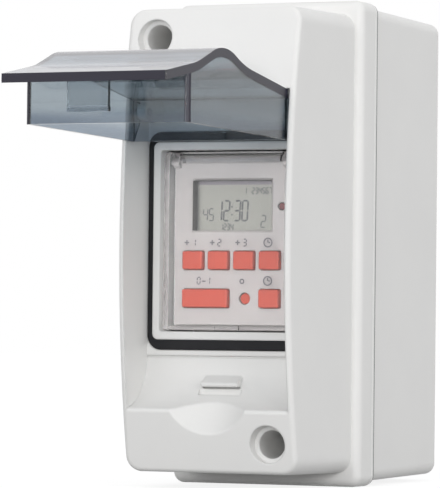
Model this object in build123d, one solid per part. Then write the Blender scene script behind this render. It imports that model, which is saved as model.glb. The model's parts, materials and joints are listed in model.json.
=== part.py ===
from build123d import *
import math
import os

# Digital timer switch in a small wall box with a hinged window. Millimetres.
# The origin is the middle of the wall face, +Z is up and the front looks along -Y.
# A depth is a distance out from the wall, so it lies at Y = -depth.

# Wall box
box_half_width = 24.4
box_half_height = 59.1
box_flare = 0.55
box_depth = 47.7
box_corner = 3.0
box_wall = 2.2
box_back = 2.6
box_back_edge = 0.8
rim_tongue_height = 2.4
rim_tongue_root = 2.0
rim_tongue_wall = 1.0
rim_tongue_gap = 0.15
rim_band_length = 1.5
rim_band_edge = 0.5
rim_seam_edge = 0.3
knockout_radius = 10.0
knockout_groove = 0.8
knockout_groove_depth = 1.2
knockout_depth = 24.0
wall_hole_radius = 2.25
wall_hole_inset = 8.1

# Cover flange and front
flange_side_overhang = 0.8
flange_end_overhang = 1.05
flange_corner = 2.8
flange_length = 8.2
flange_edge = 2.0
flange_back_edge = 0.4
flange_wall = 2.75
flange_roof = 2.4
front_half_width = 22.9
front_end_step = 4.0
front_draft = 0.6
front_corner = 4.0
front_edge = 1.2
front_radius = 270.0
cover_wall = 2.0

# Sunk window bay in the cover
bay_half_width = 21.5
bay_top = 36.4
bay_floor_depth = 79.8
bay_floor_thickness = 2.6
ramp_start = -28.8
ramp_end = -41.3
ramp_middle_height = -37.3
ramp_middle_rise = 3.6
ramp_end_round = 0.9
ramp_groove_height = 0.45
ramp_groove_depth = 0.35
window_gap = 0.3
window_corner = 0.8
skirt_wall = 1.2
skirt_length = 3.8
lip_side_width = 1.85
lip_end_width = 2.0
lip_rise = 0.7
lip_corner = 1.5
scoop_radius = 11.0
scoop_height = -37.2
scoop_dish = 5.0
scoop_edge = 0.6

# Window gasket
gasket_gap = 0.05
gasket_side_gap = 0.1
gasket_end_width = 2.5
gasket_corner = 3.6
gasket_seat = 1.6
gasket_crown = 0.5

# Cover screws and their wells, at two opposite corners
well_x = 15.6
well_timer_gap = 6.5
well_mouth_radius = 4.6
well_mouth_depth = 3.0
well_radius = 3.45
well_wall = 2.0
well_floor_rise = 0.5
well_floor_thickness = 2.0
cover_screw_radius = 2.0
cover_screw_length = 14.0
cover_screw_head_radius = 3.2
cover_screw_head_height = 2.4
screw_hole_gap = 0.2
screw_thread_gap = 0.05
screw_slot_width = 0.9
screw_slot_depth = 1.2
screw_slot_margin = 0.9
screw_crown = 0.6
boss_radius = 4.0

# Seam seal
seal_width = 1.1
seal_height = 1.4
seal_gap = 0.1

# Lid, drawn open: along is measured out from the hinge axis, rise is up from it
hinge_rise = 8.6
hinge_drop = 4.9
lid_recess = 5.8
lid_half_width = 20.9
lid_thickness = 2.15
lid_root = 2.9
lid_root_rise = 4.65
lid_slope_end = 24.2
lid_slope_rise = 7.78
lid_shoulder = 33.4
lid_shoulder_rise = 10.4
lid_crest = 40.6
lid_crest_rise = 11.85
lid_brow = 47.6
lid_brow_rise = 10.32
lid_bend = 53.0
lid_bend_rise = 8.33
lid_eave = 57.2
lid_eave_rise = 7.2
lid_length = 71.5
lid_free_rise = 4.65
lid_edge = 0.3
collar_wall = 1.0
collar_corner = 1.2
collar_inner_corner = 0.4
collar_end = 59.4
collar_root_drop = 7.5
collar_end_drop = 6.3
lid_arm_radius = 2.4
lid_web_top = 4.0
lid_web_reach = 2.2
lid_web_thickness = 1.4
lid_web_gap = 0.4
tongue_half_width = 5.2
tongue_along = 67.9
tongue_thickness = 1.2
tongue_drop = 4.2
tongue_barb = 0.3
tongue_barb_height = 1.0

# Lid hinge lugs and pins
pin_radius = 1.0
pin_running_gap = 0.05
pin_inner_stub = 0.5
lug_radius = 2.0
lug_thickness = 2.3
lug_gap = 0.35

# Catch on the ramp
catch_half_width = 5.0
catch_top = -32.6
catch_bottom = -35.9
catch_rise = 4.3
catch_nose = 1.0
catch_edge = 0.45
catch_slot_height = 2.0
catch_slot_rise = 2.85
catch_slit_height = 0.4
catch_slit_rise = 1.6
catch_slot_side = 0.6

# Rail and its screws
rail_half_length = 20.0
rail_half_height = 17.5
rail_base_half_height = 13.5
rail_height = 7.5
rail_sheet = 1.0
rail_post_height = 5.9
rail_post_radius = 4.0
rail_screw_x = 13.5
rail_screw_radius = 1.5
rail_screw_length = 6.0
rail_screw_head_radius = 2.9
rail_screw_head_height = 1.9

# Timer housing
timer_half_width = 17.8
timer_half_height = 43.0
timer_wall = 1.6
timer_foot = 4.5
timer_split_depth = 58.4
rail_gap = 0.2
hook_reach = 1.7
hook_thickness = 1.9
hook_half_width = 8.0
clip_half_width = 5.5
clip_gap = 0.3
clip_tail = 2.5
clip_eye_half_width = 1.8
clip_eye_height = 0.8
clip_eye_rise = 1.25
clip_slit_x = 3.85
clip_slit_width = 0.6
clip_slit_low = 2.5
clip_slit_high = 5.1
post_radius = 2.0

# Timer bezel
shoulder_thickness = 1.6
nose_half_width = 17.7
nose_half_height = 22.1
nose_wall = 1.2
nose_corner = 0.6
face_sink = 2.8
face_rise = 2.6
face_half_width = 15.6
face_bottom = -20.7
face_thickness = 1.4
face_side_wall = 0.9
display_half_width = 10.35
display_half_height = 6.2
display_height = 8.8
display_bevel = 0.5

# Flip cover over the timer face
flip_half_width = 17.5
flip_wall = 0.9
flip_side_wall = 1.1
flip_front_depth = 79.3
flip_side_gap = 0.4
flip_end_gap = 0.15
flip_barrel_radius = 2.6
flip_stub_radius = 0.7
flip_stub_reach = 0.85
flip_lug_radius = 1.4
flip_lug_thickness = 1.6
flip_notch_gap = 0.3
flip_trough_gap = 0.2
flip_tab_half_width = 3.2
flip_tab_height = 1.0
flip_tab_lift = 0.6

# Keys: two rows on a grid of four columns
key_columns = 4
key_pitch = 6.88
key_width = 5.4
key_height = 4.5
key_corner = 0.5
key_gap = 0.2
key_row_top = -4.75
key_row_bottom = -14.15
key_rise = 1.3
key_edge = 0.35
key_collar = 0.6
key_collar_thickness = 1.0
key_collar_gap = 0.5
key_travel = 0.6
reset_radius = 1.3
reset_sink = 0.6

# Display stack
board_thickness = 1.6
board_half_width = 16.2
board_half_height = 20.6
board_post_radius = 1.2
board_post_x = 15.0
board_post_z = 19.4
glass_half_width = 11.6
glass_bottom = 1.4
glass_top = 15.7
glass_thickness = 1.4
holder_wall = 1.0
strip_thickness = 1.4
strip_half_length = 9.6
mat_half_width = 14.4
mat_bottom = -17.4
mat_top = 0.6
mat_thickness = 1.2
dome_radius = 2.0
dome_height = 1.5
dome_gap = 0.7
lamp_x = 13.2
lamp_z = 8.55
lamp_radius = 0.95
lamp_edge = 0.45
lamp_gap = 0.1
lamp_sink = 0.3

# Power side
power_half_width = 15.8
power_half_height = 29.5
power_board_depth = 31.5
relay_size = (15.5, 15.5, 19.0)
relay_place = (-7.4, -0.5)
capacitor_size = (11.0, 9.5, 13.0)
capacitor_place = (8.5, -13.5)
cell_radius = 5.8
cell_height = 5.4
cell_place = (8.5, 7.5)
cell_strap = 0.3
cell_strap_half_width = 1.9
cell_strap_reach = 2.9
part_edge = 0.6
link_half_width = 7.0
link_thickness = 1.2
link_height = 18.0

# Terminals
terminal_top_x = (-11.0, 0.0, 11.0)
terminal_bottom_x = (-8.0, 8.0)
terminal_height = 36.0
clamp_half_width = 3.4
clamp_half_height = 4.2
clamp_back_depth = 40.0
clamp_length = 9.0
clamp_wall = 1.0
shelf_thickness = 2.0
tail_half_width = 1.5
tail_thickness = 0.8
terminal_screw_radius = 1.5
terminal_head_radius = 2.1
terminal_head_height = 2.4
terminal_screw_reach = 4.0
driver_hole_radius = 2.4
wire_hole_radius = 2.4

# Places that follow from the sizes above
side_view = Plane(origin=(0, 0, 0), x_dir=(0, -1, 0), z_dir=(-1, 0, 0))
# Longer than any piece, for cuts that run right through
reach = 200.0
# How near to a depth or height an edge lies to count as being there
edge_search = 0.01
rim_half_width = box_half_width + box_flare
rim_half_height = box_half_height + box_flare
rim_corner = box_corner - box_wall + rim_tongue_gap
wall_hole_height = box_half_height - wall_hole_inset
flange_half_width = rim_half_width + flange_side_overhang
flange_half_height = rim_half_height + flange_end_overhang
flange_front = box_depth + flange_length
front_half_height = flange_half_height - front_end_step
bay_back_depth = bay_floor_depth - bay_floor_thickness
ramp_middle_depth = bay_floor_depth + ramp_middle_rise
window_half_width = nose_half_width + window_gap
window_half_height = nose_half_height + window_gap
lip_half_width = window_half_width + lip_side_width
lip_half_height = window_half_height + lip_end_width
lip_depth = bay_floor_depth + lip_rise
gasket_half_height = lip_half_height + gasket_gap + gasket_end_width
gasket_crown_depth = bay_floor_depth + gasket_crown
catch_depth = bay_floor_depth + catch_rise
catch_slot_depth = bay_floor_depth + catch_slot_rise
catch_slit_depth = bay_floor_depth + catch_slit_rise
hinge_depth = bay_floor_depth + hinge_rise
hinge_height = bay_top - hinge_drop
front_depth = hinge_depth + lid_recess
well_z = timer_half_height + well_timer_gap
well_floor_depth = box_depth + well_floor_rise
lug_outer_x = lid_half_width - collar_wall - lug_gap
lug_inner_x = lug_outer_x - lug_thickness
rail_back_depth = box_back + rail_post_height
rail_front_depth = rail_back_depth + rail_height
timer_back_depth = rail_front_depth - timer_foot
shoulder_depth = timer_split_depth + shoulder_thickness
flip_axis_depth = flip_front_depth - flip_barrel_radius
flip_axis_height = nose_half_height - flip_barrel_radius
flip_bottom = -nose_half_height + flip_end_gap
face_depth = flip_front_depth - face_sink
face_top = flip_axis_height - flip_trough_gap
face_back_depth = face_depth - face_thickness
ledge_depth = face_depth - face_rise
flip_side_depth = ledge_depth + flip_side_gap
key_front_depth = face_depth + key_rise
key_back_depth = face_back_depth - key_collar_gap - key_collar_thickness - key_travel
reset_front_depth = face_depth - reset_sink
lamp_front_depth = face_depth - lamp_sink
board_front_depth = key_back_depth - dome_gap - dome_height - mat_thickness
board_back_depth = board_front_depth - board_thickness
power_back_depth = power_board_depth - board_thickness
well_places = ((-well_x, well_z), (well_x, -well_z))
columns = [key_pitch * (step - (key_columns - 1) / 2) for step in range(key_columns)]


def facing(depth):
    """Plane parallel to the wall, looking out of the front."""
    return Plane(origin=(0, -depth, 0), x_dir=(1, 0, 0), z_dir=(0, -1, 0))


def slab(half_width, half_height, corner, depth_from, depth_to, x=0.0, z=0.0):
    """Rounded block between two depths, centred on the axis or on a place."""
    outline = Pos(x, z) * RectangleRounded(2 * half_width, 2 * half_height, corner)
    return extrude(facing(depth_from) * outline, depth_to - depth_from)


def edges_at(shape, depth):
    """Edges of a shape that lie at one depth."""
    return shape.edges().filter_by_position(Axis.Y, -depth - edge_search, -depth + edge_search)


def block(x_low, x_high, z_low, z_high, depth_from, depth_to):
    """Plain block between its limits."""
    middle = Pos((x_low + x_high) / 2, (z_low + z_high) / 2)
    outline = middle * Rectangle(x_high - x_low, z_high - z_low)
    return extrude(facing(depth_from) * outline, depth_to - depth_from)


def post(x, z, radius, depth_from, depth_to):
    """Round post that stands out from the wall."""
    return extrude(facing(depth_from) * Pos(x, z) * Circle(radius), depth_to - depth_from)


def flared_slab(narrow, wide, corner, narrow_depth, wide_depth):
    """Rounded block whose half sizes change from one depth to another."""
    near = facing(narrow_depth) * RectangleRounded(2 * narrow[0], 2 * narrow[1], corner)
    far = facing(wide_depth) * RectangleRounded(2 * wide[0], 2 * wide[1], corner)
    return loft([near.face(), far.face()])


def side_plate(outline, half_width, x=0.0):
    """Side view outline in depth and height, given a width along X."""
    return Pos(x, 0, 0) * extrude(side_view * outline, half_width, both=True)


def cross_rod(radius, half_length, depth, height, x=0.0):
    """Round rod along X."""
    return side_plate(Pos(depth, height) * Circle(radius), half_length, x)


def front_surface(height, inset=0.0):
    """Depth of the bowed front at a height."""
    radius = front_radius - inset
    return front_depth - front_radius + math.sqrt(radius**2 - height**2)


def knockout(side):
    """Round groove that marks a cable entry in the top or bottom of the box."""
    outer = cylinder_up(knockout_radius, rim_half_height, side)
    inner = cylinder_up(knockout_radius - knockout_groove, rim_half_height, side)
    depth_limit = box_half_height - knockout_groove_depth
    shell = Box(reach, reach, 2 * depth_limit)
    return outer - inner - shell


def cylinder_up(radius, length, side):
    """Vertical cylinder from the middle of the box through its top or bottom."""
    return Pos(0, -knockout_depth, side * length / 2) * Cylinder(radius, length)


def back_box():
    """Wall box with rim tongue, screw bosses, rail posts and wall holes."""
    small = (box_half_width, box_half_height)
    large = (rim_half_width, rim_half_height)
    shell = flared_slab(small, large, box_corner, 0, box_depth)
    shell = fillet(edges_at(shell, 0), box_back_edge) + rim_band()
    inner_small = (box_half_width - box_wall, box_half_height - box_wall)
    inner_large = (rim_half_width - box_wall, rim_half_height - box_wall)
    shell -= flared_slab(inner_small, inner_large, box_corner - box_wall, box_back, box_depth)
    inset = flange_wall + rim_tongue_gap
    shell += rim_ring(inset, rim_tongue_wall, rim_corner - rim_tongue_gap,
                      box_depth - rim_tongue_root, box_depth + rim_tongue_height)
    for x, z in well_places:
        shell += post(x, z, boss_radius, box_back, well_floor_depth - well_floor_thickness)
        shell -= post(x, z, cover_screw_radius + screw_thread_gap, box_back, reach)
    for x in (-rail_screw_x, rail_screw_x):
        shell += post(x, 0, rail_post_radius, box_back, rail_back_depth)
        shell -= post(x, 0, rail_screw_radius + screw_thread_gap, box_back, rail_back_depth)
    for z in (-wall_hole_height, wall_hole_height):
        shell -= post(0, z, wall_hole_radius, 0, box_back)
    for side in (-1, 1):
        shell -= knockout(side)
    return shell


def rim_band():
    """Band round the rim of the box, as wide as the flange that meets it."""
    back = box_depth - rim_band_length
    band = slab(flange_half_width, flange_half_height, flange_corner, back, box_depth)
    band = fillet(edges_at(band, back), rim_band_edge)
    return fillet(edges_at(band, box_depth), rim_seam_edge)


def rim_ring(inset, wall, corner, depth_from, depth_to):
    """Ring inside the flange outline, a wall thick."""
    half_width = flange_half_width - inset
    half_height = flange_half_height - inset
    ring = slab(half_width, half_height, corner, depth_from, depth_to)
    inner_corner = max(corner - wall, corner / 2)
    return ring - slab(half_width - wall, half_height - wall, inner_corner, depth_from, depth_to)


def box_seal():
    """Rubber ring in the groove of the flange, flat on the rim of the box."""
    inset = seal_inset() + seal_gap
    return rim_ring(inset, seal_width, flange_corner - inset, box_depth, box_depth + seal_height)


def seal_inset():
    """Distance from the flange outline in to the seal groove, in the middle of the flange wall."""
    return (flange_wall - seal_groove_width()) / 2


def seal_groove_width():
    """Width of the groove that holds the seal."""
    return seal_width + 2 * seal_gap


def cover_outside():
    """Flange and bowed front with rounded edges."""
    flange = slab(flange_half_width, flange_half_height, flange_corner, box_depth, flange_front)
    flange = fillet(edges_at(flange, flange_front), flange_edge)
    flange = fillet(edges_at(flange, box_depth), flange_back_edge)
    wide = (front_half_width + front_draft, front_half_height + front_draft)
    narrow = (front_half_width, front_half_height)
    tower = flared_slab(wide, narrow, front_corner, box_depth + flange_edge, front_depth)
    bow = cross_rod(front_radius, reach, front_depth - front_radius, 0)
    tower = tower & bow
    limit = -front_surface(front_half_height) + front_edge
    rim = tower.edges().filter_by(lambda edge: edge.center().Y < limit)
    tower = fillet(rim, front_edge)
    return flange + tower


def ramp_line():
    """Curved ramp below the window, from the bay floor to the front."""
    start = (bay_floor_depth, ramp_start)
    middle = (ramp_middle_depth, ramp_middle_height)
    end = (front_surface(ramp_end), ramp_end)
    return start, middle, end


def bay_outline():
    """Side view of the bay, open to the front, with its ramp rounded where it meets the front."""
    start, middle, end = ramp_line()
    ramp = ThreePointArc(start, middle, end)
    turn = 1 - ramp_end_round / ramp.length
    low = ramp_end - ramp_end_round
    front_point = (front_surface(low), low)
    edge = TangentArc(ramp @ turn, front_point, tangent=ramp % turn)
    outside = front_depth + lid_crest_rise
    rest = Polyline(front_point, (outside, low), (outside, bay_top), (bay_floor_depth, bay_top), start)
    return make_face([ramp.trim(0, turn), edge, rest])


def cavity_outline():
    """Side view of the hollow behind the front, a wall behind every outer face."""
    start, middle, end = ramp_line()
    low = -front_half_height + cover_wall
    high = front_half_height - cover_wall
    back_start = (bay_back_depth, ramp_start - cover_wall / 2)
    back_middle = (middle[0] - cover_wall, middle[1] - cover_wall)
    back_end = (front_surface(ramp_end, cover_wall), ramp_end - cover_wall)
    ramp = ThreePointArc(back_start, back_middle, back_end)
    bottom_middle = (low + back_end[1]) / 2
    lower_front = ThreePointArc(
        back_end,
        (front_surface(bottom_middle, cover_wall), bottom_middle),
        (front_surface(low, cover_wall), low),
    )
    upper_low = bay_top + cover_wall
    upper_middle = (high + upper_low) / 2
    upper_front = ThreePointArc(
        (front_surface(high, cover_wall), high),
        (front_surface(upper_middle, cover_wall), upper_middle),
        (front_surface(upper_low, cover_wall), upper_low),
    )
    around = Polyline((front_surface(low, cover_wall), low), (box_depth, low), (box_depth, high),
                      (front_surface(high, cover_wall), high))
    back = Polyline((front_surface(upper_low, cover_wall), upper_low),
                    (bay_back_depth, upper_low), back_start)
    return make_face([ramp, lower_front, around, upper_front, back])


def scoop(radius_growth):
    """Ball whose dish in the front is the finger scoop, or its back wall when grown."""
    ball_radius = (scoop_radius**2 + scoop_dish**2) / (2 * scoop_dish)
    depth = front_surface(ramp_end) - scoop_dish + ball_radius
    return Pos(0, -depth, scoop_height) * Sphere(ball_radius + radius_growth)


def scooped(cover):
    """Cover with the finger scoop in its front, rounded along the scoop's lower rim."""
    cover -= scoop(0)
    high = ramp_end - ramp_end_round
    low = high - scoop_radius
    return fillet(cover.edges().filter_by(lambda edge: crosses_front(edge @ 0.5, low, high)), scoop_edge)


def crosses_front(point, low, high):
    """Whether a point lies on the centre line of the bowed front, between two heights."""
    on_front = abs(front_surface(point.Z) + point.Y) < edge_search
    return on_front and abs(point.X) < edge_search and low < point.Z < high


def cover_cavity():
    """Hollow of the cover with the backs of the wells and the scoop left standing."""
    wide = (front_half_width + front_draft - cover_wall, front_half_height + front_draft - cover_wall)
    narrow = (front_half_width - cover_wall, front_half_height - cover_wall)
    column = flared_slab(wide, narrow, front_corner - cover_wall / 2, box_depth, front_depth)
    hollow = column & side_plate(cavity_outline(), reach)
    hollow += rim_hollow()
    for x, z in well_places:
        hollow -= post(x, z, well_mouth_radius + well_wall / 2, box_depth, reach)
    return hollow - scoop(cover_wall)


def rim_hollow():
    """Wider hollow inside the flange, which the tongue of the box fits."""
    half_width = flange_half_width - flange_wall
    half_height = flange_half_height - flange_wall
    return slab(half_width, half_height, rim_corner, box_depth, flange_front - flange_roof)


def hinge_lug(side):
    """Lug on the bay floor that holds one hinge pin."""
    x = side * (lug_inner_x + lug_outer_x) / 2
    leg = block(lug_inner_x, lug_outer_x, hinge_height - lug_radius, bay_top, bay_back_depth, hinge_depth)
    if side < 0:
        leg = leg.mirror(Plane.YZ)
    lug = leg + cross_rod(lug_radius, lug_thickness / 2, hinge_depth, hinge_height, x)
    top = block(-reach, reach, bay_top, bay_top + lug_radius, bay_back_depth, hinge_depth + lug_radius)
    return lug - top


def catch():
    """Wedge on the ramp that the lid's tongue passes under."""
    outline = make_face(Polyline((bay_floor_depth, catch_top), (catch_depth, catch_bottom + catch_nose),
                                 (catch_depth, catch_bottom), (bay_floor_depth, catch_bottom),
                                 (bay_floor_depth, catch_top)))
    wedge = side_plate(outline, catch_half_width)
    limit = -bay_floor_depth - catch_edge
    return fillet(wedge.edges().filter_by(lambda edge: edge.center().Y < limit), catch_edge)


def ramp_groove():
    """Thin groove between the bay floor and the ramp."""
    return block(-bay_half_width, bay_half_width, ramp_start, ramp_start + ramp_groove_height,
                 bay_floor_depth - ramp_groove_depth, bay_floor_depth)


def window_skirt(side):
    """Skirt behind one side of the window, beside the timer's nose."""
    low, high = sorted((side * window_half_width, side * (window_half_width + skirt_wall)))
    return block(low, high, -window_half_height, window_half_height,
                 bay_back_depth - skirt_length, bay_back_depth)


def catch_slot():
    """Shallow room for the tip of the tongue, and a thin slit right under the wedge."""
    half_width = catch_half_width + catch_slot_side
    room = block(-half_width, half_width, catch_bottom - catch_slot_height, catch_bottom,
                 catch_slot_depth, front_depth)
    return room + block(-catch_half_width, catch_half_width, catch_bottom - catch_slit_height, catch_bottom,
                        catch_slit_depth, front_depth)


def well_tube(x, z):
    """Wall of one screw well, down to its floor."""
    return post(x, z, well_radius + well_wall, well_floor_depth - well_floor_thickness, bay_back_depth)


def well_bore(x, z):
    """Stepped bore of one screw well."""
    mouth = front_surface(z) - well_mouth_depth
    bore = post(x, z, well_mouth_radius, mouth, front_depth)
    bore += post(x, z, well_radius, well_floor_depth, front_depth)
    return bore + post(x, z, cover_screw_radius + screw_hole_gap, box_depth - reach, front_depth)


def front_cover():
    """Cover with its bay, window lip, hinge lugs, catch, scoop and screw wells."""
    cover = cover_outside() - cover_cavity()
    cover -= side_plate(bay_outline(), bay_half_width)
    cover = scooped(cover)
    lip = slab(lip_half_width, lip_half_height, lip_corner, bay_back_depth, lip_depth)
    cover += lip
    gasket_slot = slab(gasket_half_width() + gasket_gap, gasket_half_height + gasket_gap,
                       gasket_corner, bay_floor_depth - gasket_seat, bay_floor_depth)
    cover -= gasket_slot - lip
    cover -= slab(window_half_width, window_half_height, window_corner, box_depth, front_depth)
    cover += catch()
    cover -= catch_slot()
    cover -= ramp_groove()
    for side in (-1, 1):
        cover += hinge_lug(side)
        cover += window_skirt(side)
    cover -= cross_rod(pin_radius, lug_outer_x + lug_gap, hinge_depth, hinge_height)
    cover -= seal_groove()
    for x, z in well_places:
        cover += well_tube(x, z)
        cover -= well_bore(x, z)
    return cover


def gasket_half_width():
    """Half width of the gasket, which nearly fills the bay."""
    return bay_half_width - gasket_side_gap


def seal_groove():
    """Groove in the rim of the flange for the seal."""
    inset = seal_inset()
    return rim_ring(inset, seal_groove_width(), flange_corner - inset,
                    box_depth, box_depth + seal_height + seal_gap)


def window_gasket():
    """Rubber ring round the window lip with a rounded crown."""
    bottom = bay_floor_depth - gasket_seat
    ring = slab(gasket_half_width(), gasket_half_height, gasket_corner, bottom, gasket_crown_depth)
    ring = fillet(edges_at(ring, gasket_crown_depth), gasket_crown_depth - bay_floor_depth - gasket_gap)
    return ring - slab(lip_half_width + gasket_gap, lip_half_height + gasket_gap, lip_corner,
                       bottom, gasket_crown_depth)


def pan_screw(radius, length, head_radius, head_height, seat_depth):
    """Cross-slot screw that points at the wall, with its head on the seat."""
    top = seat_depth + head_height
    screw = post(0, 0, radius, seat_depth - length, seat_depth)
    head = post(0, 0, head_radius, seat_depth, top)
    head = fillet(edges_at(head, top), screw_crown)
    arm = head_radius - screw_slot_margin
    half_slot = screw_slot_width / 2
    head -= block(-arm, arm, -half_slot, half_slot, top - screw_slot_depth, top)
    head -= block(-half_slot, half_slot, -arm, arm, top - screw_slot_depth, top)
    return screw + head


def cover_screws():
    """Two screws at the bottom of the wells."""
    screw = pan_screw(cover_screw_radius, cover_screw_length, cover_screw_head_radius,
                      cover_screw_head_height, well_floor_depth)
    return [Pos(x, 0, z) * screw for x, z in well_places]


def rail_screws():
    """Two screws in the channel of the rail."""
    seat = rail_back_depth + rail_sheet
    screw = pan_screw(rail_screw_radius, rail_screw_length, rail_screw_head_radius,
                      rail_screw_head_height, seat)
    return [Pos(x, 0, 0) * screw for x in (-rail_screw_x, rail_screw_x)]


def din_rail():
    """Top-hat rail of bent sheet."""
    outline = Pos(rail_back_depth + rail_sheet / 2, 0) * Rectangle(rail_sheet, 2 * rail_base_half_height)
    middle = (rail_back_depth + rail_front_depth) / 2
    for side in (-1, 1):
        web_height = side * (rail_base_half_height - rail_sheet / 2)
        outline += Pos(middle, web_height) * Rectangle(rail_height, rail_sheet)
        flange_low = rail_base_half_height - rail_sheet
        flange_middle = side * (flange_low + rail_half_height) / 2
        flange_width = rail_half_height - flange_low
        outline += Pos(rail_front_depth - rail_sheet / 2, flange_middle) * Rectangle(rail_sheet, flange_width)
    rail = side_plate(outline, rail_half_length)
    for x in (-rail_screw_x, rail_screw_x):
        rail -= post(x, 0, rail_screw_radius + screw_hole_gap, rail_back_depth, rail_back_depth + rail_sheet)
    return rail


def lid_skin(shift):
    """Upper line of the lid in depth and height, lowered by a shift."""
    def at(along, rise):
        return hinge_depth + along, hinge_height + rise - shift

    root = at(lid_root, lid_root_rise)
    slope = at(lid_slope_end, lid_slope_rise)
    shoulder = at(lid_shoulder, lid_shoulder_rise)
    crest = at(lid_crest, lid_crest_rise)
    brow = at(lid_brow, lid_brow_rise)
    bend = at(lid_bend, lid_bend_rise)
    eave = at(lid_eave, lid_eave_rise)
    free = at(lid_length, lid_free_rise)
    climb = TangentArc(slope, shoulder, tangent=direction(root, slope))
    top = ThreePointArc(shoulder, crest, brow)
    turn = TangentArc(eave, bend, tangent=direction(free, eave))
    return Line(root, slope), climb, top, Line(brow, bend), turn, Line(eave, free)


def direction(start, end):
    """Direction from one point to another."""
    return end[0] - start[0], end[1] - start[1]


def lid_panel():
    """Peaked panel of the lid."""
    upper = lid_skin(0)
    lower = lid_skin(lid_thickness)
    root_end = Line(upper[0] @ 0, lower[0] @ 0)
    free_end = Line(upper[-1] @ 1, lower[-1] @ 1)
    panel = side_plate(make_face([*upper, *lower, root_end, free_end]), lid_half_width)
    uprights = panel.edges().filter_by(Axis.Z)
    return fillet(uprights, lid_edge)


def collar_outline(inset):
    """Side view of the space under the panel that the collar encloses."""
    upper = lid_skin(lid_thickness / 2)
    root_along = lid_root + inset
    end_along = collar_end - inset
    root_top = upper[0] @ 0
    free_top = upper[-1] @ 1
    below = hinge_height - reach
    around = Polyline(root_top, (root_top.X, below), (free_top.X, below), free_top)
    under = make_face([*upper, around])
    low_root = (hinge_depth + root_along, collar_edge_height(root_along))
    low_end = (hinge_depth + end_along, collar_edge_height(end_along))
    top = hinge_height + reach
    frame = make_face(Polyline(low_root, low_end, (low_end[0], top), (low_root[0], top), low_root))
    return under & frame


def collar_edge_height(along):
    """Height of the collar's lower edge at a distance from the hinge."""
    share = (along - lid_root) / (collar_end - lid_root)
    return hinge_height - collar_root_drop + share * (collar_root_drop - collar_end_drop)


def lid_collar():
    """Wall that hangs from the panel and shuts down round the window."""
    outer = side_plate(collar_outline(0), lid_half_width)
    middle = -hinge_depth - (lid_root + collar_end) / 2
    uprights = outer.edges().filter_by(Axis.Z)
    outer = fillet(uprights.filter_by(lambda edge: edge.center().Y < middle), collar_corner)
    inner = side_plate(collar_outline(collar_wall), lid_half_width - collar_wall)
    uprights = inner.edges().filter_by(Axis.Z)
    inner = fillet(uprights.filter_by(lambda edge: edge.center().Y < middle), collar_inner_corner)
    lowered = inner & side_plate(lid_shadow(), reach)
    return outer - lowered


def lid_shadow():
    """Everything below the underside of the panel, in the side view."""
    lower = lid_skin(lid_thickness)
    root_end = lower[0] @ 0
    free_end = lower[-1] @ 1
    below = hinge_height - reach
    around = Polyline(root_end, (root_end.X, below), (free_end.X, below), free_end)
    return make_face([*lower, around])


def lid_arm(side):
    """Arm that runs back from the collar and turns on a pin."""
    x = side * (lid_half_width - collar_wall / 2)
    low_corner = (hinge_depth + lid_root, collar_edge_height(lid_root))
    outer_corner = (hinge_depth + lid_root + collar_wall, collar_edge_height(lid_root + collar_wall))
    high_corner = (hinge_depth + lid_root + collar_wall, hinge_height + lid_arm_radius)
    heel = (hinge_depth, hinge_height + lid_arm_radius)
    toe = (hinge_depth - lid_arm_radius, hinge_height)
    outline = make_face(Polyline(low_corner, outer_corner, high_corner, heel, toe, low_corner))
    arm = side_plate(outline, collar_wall / 2, x)
    return arm + cross_rod(lid_arm_radius, collar_wall / 2, hinge_depth, hinge_height, x)


def lid_web():
    """Web between the arms that shuts the gap above the panel."""
    top = hinge_height + lid_web_top
    return block(-lug_inner_x + lid_web_gap, lug_inner_x - lid_web_gap, top - lid_web_thickness, top,
                 hinge_depth - lid_web_reach, hinge_depth + lid_root + collar_wall / 2)


def lid_tongue():
    """Latch tongue with a small barb, under the free edge."""
    near = hinge_depth + tongue_along
    far = near + tongue_thickness
    tip = hinge_height - tongue_drop
    top = hinge_height + lid_free_rise - lid_thickness / 2
    tongue = block(-tongue_half_width, tongue_half_width, tip, top, near, far)
    barb = make_face(Polyline((near, tip), (near - tongue_barb, tip + tongue_barb),
                              (near - tongue_barb, tip + tongue_barb_height),
                              (near, tip + tongue_barb_height + tongue_barb), (near, tip)))
    return tongue + side_plate(barb, tongue_half_width)


def smoked_lid():
    """Hinged lid, drawn open."""
    lid = lid_panel() + lid_collar() + lid_web() + lid_tongue()
    for side in (-1, 1):
        lid += lid_arm(side)
    return lid - cross_rod(pin_radius + pin_running_gap, lid_half_width, hinge_depth, hinge_height)


def lid_hinge_pins():
    """Two pins, each pressed in a lug and running in an arm."""
    inner = lug_inner_x - pin_inner_stub
    half_length = (lid_half_width - inner) / 2
    middle = (lid_half_width + inner) / 2
    return [cross_rod(pin_radius, half_length, hinge_depth, hinge_height, side * middle) for side in (-1, 1)]


def terminal_places():
    """Centre of every wire terminal."""
    top = [(x, terminal_height, 1) for x in terminal_top_x]
    bottom = [(x, -terminal_height, -1) for x in terminal_bottom_x]
    return top + bottom


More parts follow.
